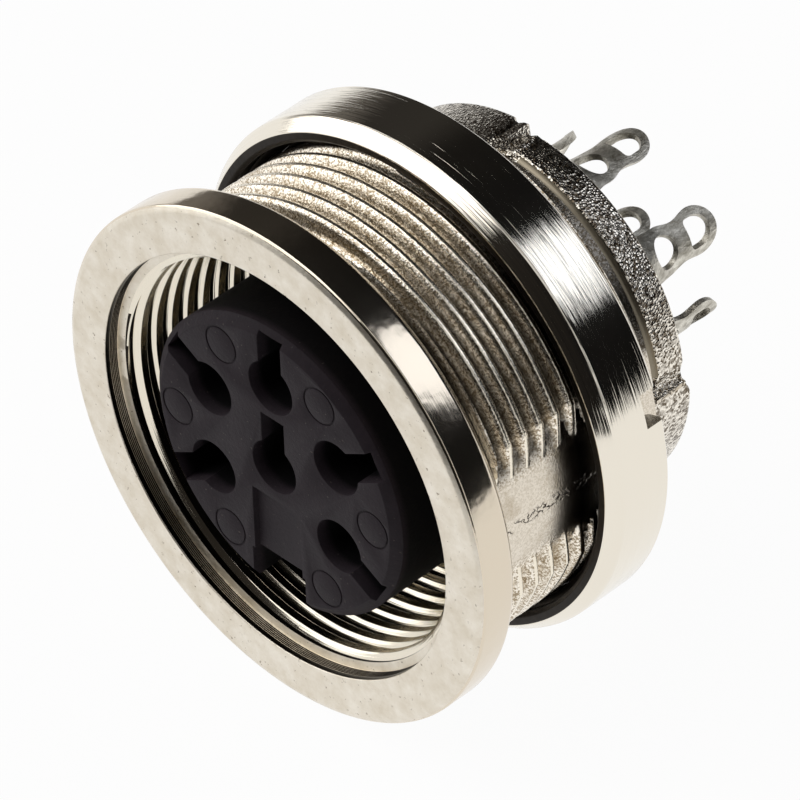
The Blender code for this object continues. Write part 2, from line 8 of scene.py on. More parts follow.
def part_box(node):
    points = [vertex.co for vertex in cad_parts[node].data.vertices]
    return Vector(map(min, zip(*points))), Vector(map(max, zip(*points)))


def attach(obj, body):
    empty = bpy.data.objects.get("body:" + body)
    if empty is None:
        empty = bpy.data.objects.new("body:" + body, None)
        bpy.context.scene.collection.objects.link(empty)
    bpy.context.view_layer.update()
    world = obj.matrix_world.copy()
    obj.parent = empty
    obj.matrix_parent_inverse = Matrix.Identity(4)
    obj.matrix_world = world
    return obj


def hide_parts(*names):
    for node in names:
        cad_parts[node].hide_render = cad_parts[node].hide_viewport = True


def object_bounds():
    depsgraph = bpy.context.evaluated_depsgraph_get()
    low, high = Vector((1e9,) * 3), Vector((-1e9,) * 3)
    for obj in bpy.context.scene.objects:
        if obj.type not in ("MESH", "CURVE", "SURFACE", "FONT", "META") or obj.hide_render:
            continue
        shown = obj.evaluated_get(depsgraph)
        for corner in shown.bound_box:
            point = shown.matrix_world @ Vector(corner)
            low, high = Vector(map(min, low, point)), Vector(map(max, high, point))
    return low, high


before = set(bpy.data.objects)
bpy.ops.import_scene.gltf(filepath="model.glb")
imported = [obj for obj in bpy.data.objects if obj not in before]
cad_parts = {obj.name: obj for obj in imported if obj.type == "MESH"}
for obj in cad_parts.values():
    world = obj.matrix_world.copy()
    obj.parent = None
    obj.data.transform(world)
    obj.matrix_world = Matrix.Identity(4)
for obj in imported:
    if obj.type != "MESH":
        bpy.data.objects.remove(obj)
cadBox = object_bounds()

mm = 0.001
fullTurn = 2 * math.pi
partingTurn = math.radians(87.5)  # the halves of the housing's mould met here and half a turn on
sharpAngle = math.radians(32)
weldDistance = 1e-8
scene = bpy.context.scene


def inMetres(sizes):
    return {name: value * mm for name, value in sizes.items()}


def onRing(radius, turn, y):
    # A turn is clockwise from +Z, seen from the front.
    return Vector((radius * math.sin(turn), y, radius * math.cos(turn)))


def rampUp(value):
    value = min(max(value, 0.0), 1.0)
    return value * value * (3 - 2 * value)


def soften(corners, steps=4):
    # Corners are (radius, y, rounding). Each rounding is the length that the curve takes from both edges.
    outline = []
    for index, (radius, y, rounding) in enumerate(corners):
        here = Vector((radius, y))
        if rounding <= 0:
            outline.append((radius, y))
            continue
        before = Vector(corners[index - 1][:2])
        after = Vector(corners[(index + 1) % len(corners)][:2])
        start = here + (before - here).normalized() * rounding
        end = here + (after - here).normalized() * rounding
        for step in range(steps + 1):
            part = step / steps
            point = start * (1 - part) ** 2 + here * (2 * part * (1 - part)) + end * part ** 2
            outline.append((point.x, point.y))
    return outline


# Materials

castLook = {
    # Millimetres from the parting line.
    "flashBand": (0.1, 0.26), "flatEdge": (1.5, 2.2), "calmEdge": (1.6, 2.8), "toothEdge": (1.7, 2.3),
    # Millimetres along the axis, and out from it. The first two place painted shade beside the nut.
    "paintedNutShadeStart": (3.1, 4.4), "paintedNutShadeEnd": (4.8, 5.6), "rootRadius": 8.4, "rootEdge": (8.42, 8.68),
    # Radians round the axis: where painted shade lies in the thread's roots on one side.
    "paintedRootShadeMiddle": 0.93, "paintedRootShadeSpread": (0.32, 0.62),
}


def linear(hexColour):
    channels = []
    for start in (0, 2, 4):
        value = int(hexColour[start:start + 2], 16) / 255
        channels.append(value / 12.92 if value <= 0.04045 else ((value + 0.055) / 1.055) ** 2.4)
    return (*channels, 1.0)


def addNode(tree, kind, inputs=None, **properties):
    # inputs gives a value or an output socket for each input name or number.
    node = tree.nodes.new(kind)
    for name, value in properties.items():
        setattr(node, name, value)
    for name, value in (inputs or {}).items():
        if isinstance(value, bpy.types.NodeSocket):
            tree.links.new(value, node.inputs[name])
        else:
            node.inputs[name].default_value = value
    return node


def outputOf(tree, kind, inputs=None, **properties):
    return addNode(tree, kind, inputs, **properties).outputs[0]


def maths(tree, operation, *values):
    return outputOf(tree, "ShaderNodeMath", dict(enumerate(values)), operation=operation)


def between(tree, value, low, high, first=0.0, last=1.0):
    # Goes from first to last while the value goes from low to high, and stays at them beyond.
    return outputOf(tree, "ShaderNodeMapRange", {0: value, 1: low, 2: high, 3: first, 4: last})


def blend(tree, share, first, second):
    # Each colour is a hex string or an output socket.
    inputs = {0: share}
    for slot, colour in ((6, first), (7, second)):
        inputs[slot] = linear(colour) if isinstance(colour, str) else colour
    return addNode(tree, "ShaderNodeMix", inputs, data_type="RGBA").outputs[2]


def newMaterial(name, colour, roughness, metallic):
    material = bpy.data.materials.new(name)
    material.use_nodes = True
    shader = material.node_tree.nodes["Principled BSDF"]
    shader.inputs["Base Color"].default_value = linear(colour)
    shader.inputs["Roughness"].default_value = roughness
    shader.inputs["Metallic"].default_value = metallic
    return material, material.node_tree, shader


def dress(tree, shader, height, strength, depth, colour=None):
    # The depth of the bump is in millimetres.
    bump = addNode(tree, "ShaderNodeBump", {"Strength": strength, "Distance": depth * mm, "Height": height})
    tree.links.new(bump.outputs[0], shader.inputs["Normal"])
    if colour is not None:
        tree.links.new(colour, shader.inputs["Base Color"])


def roundAxis(tree):
    # The place in millimetres, straight and laid out round the axis, with its turn, y and radius.
    metres = addNode(tree, "ShaderNodeTexCoord").outputs["Object"]
    steps = {0: metres, 1: (1000, 1000, 1000)}
    place = outputOf(tree, "ShaderNodeVectorMath", steps, operation="MULTIPLY")
    x, y, z = addNode(tree, "ShaderNodeSeparateXYZ", {0: place}).outputs
    radius = maths(tree, "SQRT", maths(tree, "MULTIPLY_ADD", z, z, maths(tree, "MULTIPLY", x, x)))
    turn = maths(tree, "ARCTAN2", x, z)
    along = maths(tree, "MULTIPLY", turn, 9.0)
    around = outputOf(tree, "ShaderNodeCombineXYZ", {0: along, 1: y, 2: radius})
    return {"place": place, "around": around, "turn": turn, "y": y, "radius": radius}


def noiseAt(tree, vector, scale, detail, roughness):
    # The scale is in grains a millimetre, for all directions or for each.
    steps = scale if isinstance(scale, tuple) else (scale, scale, scale)
    scaled = outputOf(tree, "ShaderNodeVectorMath", {0: vector, 1: steps}, operation="MULTIPLY")
    values = {"Vector": scaled, "Scale": 1.0, "Detail": detail, "Roughness": roughness}
    return addNode(tree, "ShaderNodeTexNoise", values).outputs["Fac"]


def gritAt(tree, vector, scale):
    # Round grains: Color is a random shade for each, and Distance makes a hollow of each.
    return addNode(tree, "ShaderNodeTexVoronoi", {"Vector": vector, "Scale": scale}).outputs


def partingLine(tree, axis):
    # The distance in millimetres from where the halves of the mould met, and 1 on the ragged outlines of
    # the flash in a narrow band there.
    sine = maths(tree, "SINE", maths(tree, "ADD", axis["turn"], -partingTurn))
    distance = maths(tree, "ABSOLUTE", maths(tree, "MULTIPLY", sine, castLook["rootRadius"]))
    band = between(tree, distance, *castLook["flashBand"], 1.0, 0.0)
    level = maths(tree, "ADD", noiseAt(tree, axis["place"], (2.6, 1.7, 2.6), 2.0, 0.6), -0.5)
    outline = between(tree, maths(tree, "ABSOLUTE", level), 0.008, 0.032, 1.0, 0.0)
    return distance, maths(tree, "MULTIPLY", band, outline)


def castNickel():
    # Nickel plate on a die casting: satin, with the casting's grit showing through. The flats along the
    # parting line are smoother. Painted shade and a painted dark reflection of the nut lie on them beside
    # the nut, and painted shade lies in the thread's roots on one side. The grit is drawn at about 0.06 mm,
    # coarser than it is, so that it shows.
    material, tree, shader = newMaterial("nickelPlatedCasting", "cfc4b0", 0.26, 1.0)
    axis = roundAxis(tree)
    distance, flash = partingLine(tree, axis)
    flat = between(tree, distance, *castLook["flatEdge"], 0.8, 0.0)
    shade = between(tree, gritAt(tree, axis["place"], 17.0)["Color"], 0.3, 0.62)
    evened = outputOf(tree, "ShaderNodeMix", {0: flat, 2: shade, 3: 0.6}, data_type="FLOAT")
    stain = between(tree, noiseAt(tree, axis["place"], 0.9, 3.0, 0.6), 0.5, 0.7, 0.0, 0.45)
    stained = blend(tree, stain, blend(tree, evened, "a5967f", "faf2e4"), "978360")
    # Painted shade: on the flats beside the nut and in the roots on one side, the colour goes towards
    # 1b1712.
    beside = between(tree, axis["y"], *castLook["paintedNutShadeStart"])
    under = between(tree, axis["y"], *castLook["paintedNutShadeEnd"], 1.0, 0.0)
    onFlat = maths(tree, "MULTIPLY", flat, maths(tree, "MULTIPLY", beside, under))
    deep = between(tree, axis["radius"], *castLook["rootEdge"], 0.8, 0.0)
    inRoot = maths(tree, "MULTIPLY", deep, between(tree, distance, *castLook["toothEdge"]))
    apart = maths(tree, "ABSOLUTE", maths(tree, "ADD", axis["turn"], -castLook["paintedRootShadeMiddle"]))
    side = between(tree, apart, *castLook["paintedRootShadeSpread"], 1.0, 0.0)
    paintedShadeCast = blend(tree, maths(tree, "MULTIPLY_ADD", inRoot, side, onFlat), stained, "1b1712")
    calm = between(tree, distance, *castLook["calmEdge"], 0.55, 1.0)
    grain = maths(tree, "MULTIPLY", noiseAt(tree, axis["place"], 13, 2.0, 0.6), calm)
    height = maths(tree, "MULTIPLY_ADD", flash, -1.5, grain)
    dress(tree, shader, height, 1.0, 0.014, blend(tree, flash, paintedShadeCast, "4a3f33"))
    return material


def gritNickel():
    # The plate on the rear sleeve, which was left as cast: coarser grit that glints.
    material, tree, shader = newMaterial("nickelPlateRough", "cfc4b0", 0.2, 1.0)
    grains = gritAt(tree, roundAxis(tree)["place"], 11.0)
    shade = between(tree, grains["Color"], 0.25, 0.7)
    dress(tree, shader, grains["Distance"], 1.0, 0.024, blend(tree, shade, "6a5e4e", "f6efe2"))
    return material


def shadedTurnedNickel():
    # Plate over a turned shoulder: smooth and dull, its colour darkened to grey as painted shade of the
    # groove.
    material, tree, shader = newMaterial("nickelPlateTurnedShade", "8f8675", 0.38, 1.0)
    lines = noiseAt(tree, roundAxis(tree)["around"], (0.3, 12.0, 12.0), 2.0, 0.5)
    dress(tree, shader, lines, 0.5, 0.008)
    return material


def paintedShadeNickel():
    # Plate painted near black as shade: in the locking thread's roots, the mouth's lines and inside the
    # nut.
    material, tree, shader = newMaterial("nickelPlatePaintedShade", "2b2620", 0.34, 1.0)
    cloud = noiseAt(tree, roundAxis(tree)["place"], 3, 3.0, 0.6)
    dress(tree, shader, cloud, 0.6, 0.012, blend(tree, cloud, "14110e", "2e2822"))
    return material


def wornHighlightNickel():
    # The same plate on the thread's crests, rubbed smoother by the nut, and paler there as a painted
    # highlight.
    material, tree, shader = newMaterial("nickelPlateWornHighlight", "f3ead8", 0.22, 1.0)
    grain = noiseAt(tree, roundAxis(tree)["place"], 12, 2.0, 0.6)
    dress(tree, shader, grain, 0.8, 0.014)
    return material


def polishedNickel():
    # Nickel plate over a turned and polished surface: near mirror, with faint lathe lines and soft ripples.
    material, tree, shader = newMaterial("nickelPlatePolished", "ddd1be", 0.15, 1.0)
    axis = roundAxis(tree)
    lines = noiseAt(tree, axis["around"], (0.12, 9.0, 9.0), 3.0, 0.6)
    ripples = noiseAt(tree, axis["place"], 1.1, 2.0, 0.5)
    dress(tree, shader, maths(tree, "MULTIPLY_ADD", ripples, 6.0, lines), 0.5, 0.007)
    return material


def faceNickel():
    # Nickel plate on a tumbled flat face: satin, finely pitted, with dark specks and pale clouds.
    material, tree, shader = newMaterial("nickelPlateSatin", "ded5c5", 0.36, 1.0)
    place = roundAxis(tree)["place"]
    pits = noiseAt(tree, place, 6, 4.0, 0.7)
    clouded = between(tree, noiseAt(tree, place, 1.3, 4.0, 0.65), 0.3, 0.7)
    clear = between(tree, noiseAt(tree, place, 4.2, 3.0, 0.7), 0.27, 0.36)
    colour = blend(tree, clear, "7a6a55", blend(tree, clouded, "d8cebc", "ece5d8"))
    dress(tree, shader, pits, 0.8, 0.016, colour)
    return material


def boreNickel():
    # Nickel plate in the turned bore: bright, with fine concentric tool lines.
    material, tree, shader = newMaterial("nickelPlateBore", "e6decd", 0.13, 1.0)
    lines = noiseAt(tree, roundAxis(tree)["around"], (0.1, 13.0, 13.0), 2.0, 0.5)
    dress(tree, shader, lines, 0.8, 0.014)
    return material


def brushedNickel():
    # Nickel plate over the nut's lathe marks: mirror bright, drawn out in ragged streaks round the axis.
    material, tree, shader = newMaterial("nickelPlateBrushed", "ebe4d6", 0.1, 1.0)
    around = roundAxis(tree)["around"]
    broad = noiseAt(tree, around, (0.14, 4.0, 4.0), 2.0, 0.5)
    fine = noiseAt(tree, around, (0.22, 15.0, 15.0), 2.0, 0.6)
    dress(tree, shader, maths(tree, "MULTIPLY_ADD", fine, 0.9, broad), 1.0, 0.016)
    return material


def blackMoulding():
    # Moulded PBT: purple black, finely sparked by the tool, its front face clouded by rubbing and dusty.
    # Behind the front face, on its sides and in its holes inside the bore, painted shade makes it near
    # black.
    material, tree, shader = newMaterial("mouldedThermoplastic", "1d171c", 0.6, 0.0)
    axis = roundAxis(tree)
    place = axis["place"]
    grain = noiseAt(tree, place, 6, 4.0, 0.7)
    worn = between(tree, axis["y"], -1.25, -1.0, 1.0, 0.0)
    rubbed = blend(tree, noiseAt(tree, place, 1.6, 4.0, 0.6), "1f191e", "2f272c")
    dots = between(tree, noiseAt(tree, place, 7, 1.0, 0.5), 0.72, 0.78)
    dusty = maths(tree, "MULTIPLY", dots, worn)
    # worn is 1 on the front face; behind it, painted shade makes the moulding near black 0b090b.
    paintedShadeMoulding = blend(tree, worn, "0b090b", rubbed)
    dress(tree, shader, grain, 0.8, 0.025, blend(tree, dusty, paintedShadeMoulding, "4a4340"))
    shader.inputs["Specular IOR Level"].default_value = 0.14
    return material


def tinnedStrip():
    # Tinned phosphor bronze strip: dull silver grey, rolled lengthwise, blotched where the tin has clouded.
    material, tree, shader = newMaterial("tinnedBronzeStrip", "bdb8aa", 0.42, 1.0)
    place = roundAxis(tree)["place"]
    shade = between(tree, noiseAt(tree, place, (2.6, 1.6, 2.6), 4.0, 0.7), 0.32, 0.68)
    grain = noiseAt(tree, place, (9, 4, 9), 3.0, 0.65)
    dress(tree, shader, grain, 1.0, 0.035, blend(tree, shade, "8f897b", "efebe0"))
    return material


castSkin = castNickel()
gritSkin = gritNickel()
shadedTurnedSkin = shadedTurnedNickel()
paintedShadeSkin = paintedShadeNickel()
wornHighlightSkin = wornHighlightNickel()
polishedSkin = polishedNickel()
faceSkin = faceNickel()
boreSkin = boreNickel()
brushedSkin = brushedNickel()
mouldedSkin = blackMoulding()
tinnedSkin = tinnedStrip()
print("materials ready")


# Mesh helpers

def newPiece(name, mesh):
    piece = bpy.data.objects.new(name, mesh)
    scene.collection.objects.link(piece)
    return piece


def takeMesh(form, name, materials=()):
    mesh = bpy.data.meshes.new(name)
    form.to_mesh(mesh)
    form.free()
    for material in materials:
        mesh.materials.append(material)
    return mesh


def smooth(mesh, angle=sharpAngle):
    mesh.shade_smooth()
    mesh.set_sharp_from_angle(angle=angle)


def closeMesh(form, name, materials):
    bmesh.ops.remove_doubles(form, verts=form.verts, dist=weldDistance)
    bmesh.ops.recalc_face_normals(form, faces=form.faces)
    mesh = takeMesh(form, name, materials)
    smooth(mesh)
    return mesh


def spunMesh(name, columns, materials, shifts):
    # Each column is a closed loop of (key, skin, point), and a key is (stretch, number). A number that only
    # one of two neighbours has makes a triangle. shifts says how far the numbers of a stretch move on from
    # the last column to the first.
    form = bmesh.new()
    made = []
    for column in columns:
        made.append([(key, skin, form.verts.new(point)) for key, skin, point in column])
    for index, here in enumerate(made):
        ahead = made[(index + 1) % len(made)]
        if index == len(made) - 1:
            ahead = [((stretch, number - shifts.get(stretch, 0)), skin, corner)
                     for (stretch, number), skin, corner in ahead]
        here = here + [((math.inf, 0), 0, here[0][2])]
        ahead = ahead + [((math.inf, 0), 0, ahead[0][2])]
        first, second = 0, 0
        while first < len(here) - 1 or second < len(ahead) - 1:
            hereNext = here[first + 1][0] if first < len(here) - 1 else (math.inf, 1)
            aheadNext = ahead[second + 1][0] if second < len(ahead) - 1 else (math.inf, 1)
            corners = [here[first][2], ahead[second][2]]
            skin = here[first][1]
            if aheadNext <= hereNext:
                second += 1
                corners.append(ahead[second][2])
            if hereNext <= aheadNext:
                first += 1
                corners.append(here[first][2])
            face = form.faces.new(corners)
            face.material_index = skin
    return closeMesh(form, name, materials)


def flatten(piece):
    # Turns what the modifiers show into a plain mesh.
    graph = bpy.context.evaluated_depsgraph_get()
    mesh = bpy.data.meshes.new_from_object(piece.evaluated_get(graph))
    piece.modifiers.clear()
    piece.data = mesh


def cutAway(piece, tools):
    for tool in tools:
        cut = piece.modifiers.new("cut", "BOOLEAN")
        cut.operation = "DIFFERENCE"
        cut.object = tool
    flatten(piece)
    for tool in tools:
        bpy.data.objects.remove(tool, do_unlink=True)


def pushOut(form, faces, offset):
    raised = bmesh.ops.extrude_face_region(form, geom=faces)["geom"]
    moved = [item for item in raised if isinstance(item, bmesh.types.BMVert)]
    bmesh.ops.translate(form, verts=moved, vec=offset)


def prism(name, outline, low, high):
    form = bmesh.new()
    face = form.faces.new([form.verts.new((x, low, z)) for x, z in outline])
    pushOut(form, [face], (0, high - low, 0))
    bmesh.ops.recalc_face_normals(form, faces=form.faces)
    return newPiece(name, takeMesh(form, name))


def turnOutline(outline, turn):
    cosine, sine = math.cos(turn), math.sin(turn)
    return [(x * cosine + z * sine, z * cosine - x * sine) for x, z in outline]


def arc(across, along, radius, start, sweep, steps):
    # Both ends are included.
    angles = [start + sweep * step / steps for step in range(steps + 1)]
    return [(across + radius * math.cos(angle), along + radius * math.sin(angle)) for angle in angles]


# Node tree helpers

def newTree(name, lengths, counts=()):
    # The tree and the sockets of its named inputs.
    tree = bpy.data.node_groups.new(name, "GeometryNodeTree")
    for labels, kind in ((counts, "NodeSocketInt"), (lengths, "NodeSocketFloat")):
        for label in labels:
            tree.interface.new_socket(label, in_out="INPUT", socket_type=kind)
    tree.interface.new_socket("Geometry", in_out="OUTPUT", socket_type="NodeSocketGeometry")
    return tree, addNode(tree, "NodeGroupInput").outputs


def endTree(tree, geometry, skin=None):
    made = outputOf(tree, "GeometryNodeRealizeInstances", {0: geometry})
    if skin is not None:
        made = outputOf(tree, "GeometryNodeSetMaterial", {"Geometry": made, "Material": skin})
    addNode(tree, "NodeGroupOutput", {0: made})
    return tree


def grow(name, tree, values):
    # Runs a node tree on an empty mesh and keeps what it makes as a plain mesh.
    piece = newPiece(name, bpy.data.meshes.new(name))
    nodes = piece.modifiers.new("grow", "NODES")
    nodes.node_group = tree
    for item in tree.interface.items_tree:
        if item.in_out == "INPUT" and item.name in values:
            nodes[item.identifier] = values[item.name]
    flatten(piece)
    return piece


# Housing: flange, outer thread, rear sleeve and the bore with its inner thread

housingSizes = inMetres({
    "mouthRadius": 8.22, "mouthDepth": 0.68, "boreRadius": 7.95, "boreDepth": 8.5,
    "frontBevel": 0.25, "frontBevelDepth": 0.13, "rearBevel": 0.3,
    "neckRadius": 8.34, "neckLength": 0.8, "endGap": 0.03,
    "threadRadius": 8.86, "threadDepth": 0.46, "threadLength": 7.6, "threadLead": 0.3, "pitch": 0.75,
    "firstCrest": 0.746, "innerCrest": 7.65, "innerDepth": 0.25, "innerFirst": -0.95, "innerLength": 7.2,
    "paintedShadeFront": 0.06, "lineStart": 0.08, "linePitch": 0.07, "lineDepth": 0.016,
    "sleeveNeck": 6.95, "sleeveRadius": 7.12, "lobeRadius": 7.4, "sleeveStep": 1.55, "lobeStep": 0.9,
    "stepRise": 0.15, "rimRadius": 6.1, "rimLength": 0.4, "pocketRadius": 6.65, "bulkhead": 1.3,
    "carrierHole": 6.09, "margin": 0.1,
})
housingAngles = {
    "flatHalf": math.radians(12.5), "flatRamp": math.radians(9.0),
    "lobeSweep": math.radians(87), "tornHalf": math.radians(5.0),
}
housingCounts = {"columns": 288, "runOutSteps": 16, "mouthLines": 6}
# Each place of a thread's form is (millimetres along the axis, share of the depth), over one pitch.
threadForm = [
    (-0.375, 1.0), (-0.35, 0.95), (-0.26, 0.55), (-0.19, 0.27), (-0.13, 0.1), (-0.07, 0.02),
    (0.0, 0.0), (0.07, 0.02), (0.13, 0.1), (0.19, 0.27), (0.26, 0.55), (0.35, 0.95),
]
lockForm = [
    (-0.375, 1.0), (-0.29, 0.97), (-0.17, 0.07), (-0.145, 0.0), (0.145, 0.0), (0.17, 0.07), (0.29, 0.97),
]
wornHighlightAlong = (-0.08, 0.06)
paintedShadeBefore = -0.25
tearing = {"radius": 7.1, "grain": 2.6, "across": 0.42, "inward": 0.06, "along": 0.32, "back": 0.22}
housingSkins = {
    "face": faceSkin, "polished": polishedSkin, "cast": castSkin, "bore": boreSkin,
    "worn": wornHighlightSkin, "rough": gritSkin, "turned": shadedTurnedSkin, "paintedShade": paintedShadeSkin,
}
skinNumbers = {name: number for number, name in enumerate(housingSkins)}


def turnFrom(turn, centre, period):
    # The unsigned angle from a turn to the nearest of the places that repeat with this period.
    return abs((turn - centre + period / 2) % period - period / 2)


def threadPlaces(form, first, turn, start, end):
    # The places of a right-hand thread's form that lie between start and end at this turn.
    s = housingSizes
    places = []
    for number in range(len(form) * (math.ceil((end - start) / s["pitch"]) + 2)):
        coil, place = divmod(number, len(form))
        along, depth = form[place]
        y = first + s["pitch"] * (coil - 1 + turn / fullTurn) + along * mm
        if start + s["endGap"] < y < end - s["endGap"]:
            places.append((number, along, depth, y))
    return places


def outerThread(turn, start, end):
    s, a = housingSizes, housingAngles
    root = s["threadRadius"] - s["threadDepth"]
    flat = min(max((turnFrom(turn, partingTurn, math.pi) - a["flatHalf"]) / a["flatRamp"], 0.0), 1.0)
    points = []
    for number, along, depth, y in threadPlaces(threadForm, s["firstCrest"], turn, start, end):
        lead = rampUp(min(y - start, end - y) / s["threadLead"])
        radius = max(root, s["threadRadius"] - s["threadDepth"] * (depth + 1 - min(lead, flat)))
        # Crests get the worn plate, whose paler colour is a painted highlight.
        onCrest = wornHighlightAlong[0] < along < wornHighlightAlong[1] and radius > root + 0.1 * s["threadDepth"]
        points.append((number, radius, y, "worn" if onCrest else "cast"))
    return points


def innerThread(turn, start, end):
    # The bore is walked from the rear to the front, so the numbers run backwards.
    s = housingSizes
    root = s["innerCrest"] + s["innerDepth"]
    points = []
    for number, along, depth, y in threadPlaces(lockForm, s["innerFirst"], turn, start, end):
        lead = rampUp(min((y - start) / (s["threadLead"] / 2), (end - y) / s["threadLead"]))
        radius = max(s["innerCrest"] + s["innerDepth"] * depth, root - s["innerDepth"] * lead)
        # Painted shade: the roots and the front end of the locking thread get the dark plate.
        paintedShade = along < paintedShadeBefore or y < start + s["paintedShadeFront"]
        points.append((-number, radius, y, "paintedShade" if paintedShade else "bore"))
    return list(reversed(points))


def columnTurns():
    # Even columns, with finer ones where the thread runs out on both sides of each parting line.
    columns, steps = housingCounts["columns"], housingCounts["runOutSteps"]
    turns = {fullTurn * index / columns for index in range(columns)}
    for side in (partingTurn, partingTurn + math.pi):
        for step in range(steps + 1):
            fromLine = housingAngles["flatHalf"] + housingAngles["flatRamp"] * step / steps
            turns |= {(side - fromLine) % fullTurn, (side + fromLine) % fullTurn}
    return sorted(turns)


def tornShare(halfTurn):
    # 1 at an end of one of the sleeve's lobes, where it is torn, and 0 a few degrees on.
    sweep, half = housingAngles["lobeSweep"], housingAngles["tornHalf"]
    if halfTurn < sweep + half or math.pi - halfTurn < half:
        return rampUp(1 - turnFrom(halfTurn, 0.0, sweep) / half)
    return 0.0


def tear(torn, turn, r, y):
    # Moves a point of the sleeve raggedly, by up to a few tenths of a millimetre.
    place = Vector((turn * tearing["radius"], y / mm, r / mm)) * tearing["grain"]
    r += torn * mm * (tearing["across"] * noise.noise(place) - tearing["inward"])
    y += torn * mm * (tearing["along"] * noise.noise(place + Vector((9, 4, 2))) - tearing["back"])
    return r, y


def sleevePoints(turn, threadEnd, rear, bulkheadRear):
    s = housingSizes
    inLobe = turn % math.pi > housingAngles["lobeSweep"]
    torn = tornShare(turn % math.pi)
    radius = s["lobeRadius"] if inLobe else s["sleeveRadius"]
    step = threadEnd + (s["lobeStep"] if inLobe else s["sleeveStep"])
    neckEnd = step - s["stepRise"]
    outline = soften([
        (s["threadRadius"] - s["threadDepth"], threadEnd, 0.0),
        (s["sleeveNeck"], threadEnd, 0.12 * mm),
        (s["sleeveNeck"], neckEnd, 0.14 * mm),
        (radius, step, 0.05 * mm),
        (radius, rear, 0.14 * mm),
        (s["rimRadius"], rear, 0.1 * mm),
        (s["rimRadius"], rear - s["rimLength"], 0.0),
        (s["pocketRadius"], rear - s["rimLength"], 0.0),
        (s["pocketRadius"], bulkheadRear, 0.0),
        (s["carrierHole"], bulkheadRear, 0.0),
    ], 5)
    points = []
    for number, (r, y) in enumerate(outline):
        if torn > 0 and y > step - s["margin"] and r > s["rimRadius"] + s["margin"]:
            r, y = tear(torn, turn, r, y)
            r, y = min(r, s["lobeRadius"]), min(y, rear)
        onShoulder = torn == 0 and y < step and r < radius - s["margin"] / 2
        # The turned shoulder gets the grey plate with its painted shade.
        skin = "turned" if onShoulder else "rough"
        if y < neckEnd - s["margin"]:
            skin = "cast"
        points.append((number, r, y, skin))
    return points


def housingPiece():
    s = housingSizes
    low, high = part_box("housing")
    front, rear, flangeRadius = low.y, high.y, high.x
    threadStart = s["neckLength"]
    threadEnd = threadStart + s["threadLength"]
    boreStart = front + s["mouthDepth"]
    boreEnd = front + s["boreDepth"]
    face = soften([
        (s["mouthRadius"], front + 0.2 * mm, 0),
        (s["mouthRadius"], front, 0.05 * mm),
        (flangeRadius - s["frontBevel"], front, 0.06 * mm),
        (flangeRadius, front + s["frontBevelDepth"], 0),
    ])[1:-1]
    edge = soften([
        (flangeRadius - s["frontBevel"], front, 0),
        (flangeRadius, front + s["frontBevelDepth"], 0.08 * mm),
        (flangeRadius, -s["rearBevel"], 0.12 * mm),
        (flangeRadius - s["rearBevel"], 0.0, 0.08 * mm),
        (s["neckRadius"], 0.0, 0.08 * mm),
        (s["neckRadius"], threadStart, 0),
    ])[1:]
    bore = soften([
        (s["carrierHole"], boreEnd, 0),
        (s["boreRadius"] + 0.05 * mm, boreEnd, 0.1 * mm),
        (s["innerCrest"] + s["innerDepth"], boreEnd - 0.3 * mm, 0),
    ])
    mouth = [(s["innerCrest"] + s["innerDepth"], boreStart), (s["mouthRadius"], boreStart - 0.06 * mm)]
    for line in range(housingCounts["mouthLines"]):
        y = boreStart - s["lineStart"] - s["linePitch"] * line
        mouth += [(s["mouthRadius"], y), (s["mouthRadius"] - s["lineDepth"], y - s["linePitch"] / 2)]
    facePoints = [(number, r, y, "face") for number, (r, y) in enumerate(face)]
    edgePoints = []
    for number, (r, y) in enumerate(edge):
        edgePoints.append((number, r, y, "polished" if y < -0.01 * mm else "cast"))
    borePoints = [(number, r, y, "bore") for number, (r, y) in enumerate(bore)]
    mouthPoints = []
    for number, (r, y) in enumerate(mouth):
        # Painted shade: the grooves of the mouth's tool lines get the dark plate.
        inLine = number > 1 and r < s["mouthRadius"]
        mouthPoints.append((number, r, y, "paintedShade" if inLine else "face"))
    columns = []
    for turn in columnTurns():
        stretches = [
            facePoints,
            edgePoints,
            outerThread(turn, threadStart, threadEnd),
            sleevePoints(turn, threadEnd, rear, boreEnd + s["bulkhead"]),
            borePoints,
            innerThread(turn, boreStart, boreStart + s["innerLength"]),
            mouthPoints,
        ]
        columns.append([((stretch, number), skinNumbers[skin], onRing(r, turn, y))
                        for stretch, points in enumerate(stretches) for number, r, y, skin in points])
    # The two threads are stretches 2 and 5.
    shifts = {2: len(threadForm), 5: -len(lockForm)}
    return newPiece("housingLook", spunMesh("housingLook", columns, housingSkins.values(), shifts))


housingLook = housingPiece()
print("housing ready", len(housingLook.data.polygons))


# Ring nut

nutSizes = inMetres({
    "bevel": 0.4, "bevelDepth": 0.5, "land": 0.29, "edge": 0.12, "bore": 9.16, "bevelMargin": 0.04,
    "notchWidth": 1.3, "notchDepth": 0.8, "notchFloor": 8.5,
})
nutThread = {
    "Pitch": 0.75 * mm, "Radius": 9.09 * mm, "Height": 0.32 * mm, "Crest": 0.12 * mm, "Base": 0.56 * mm,
    "Start": 4.871 * mm, "Turns": 2.9,
}
nutColumns = 288
notchTurn = math.radians(73)


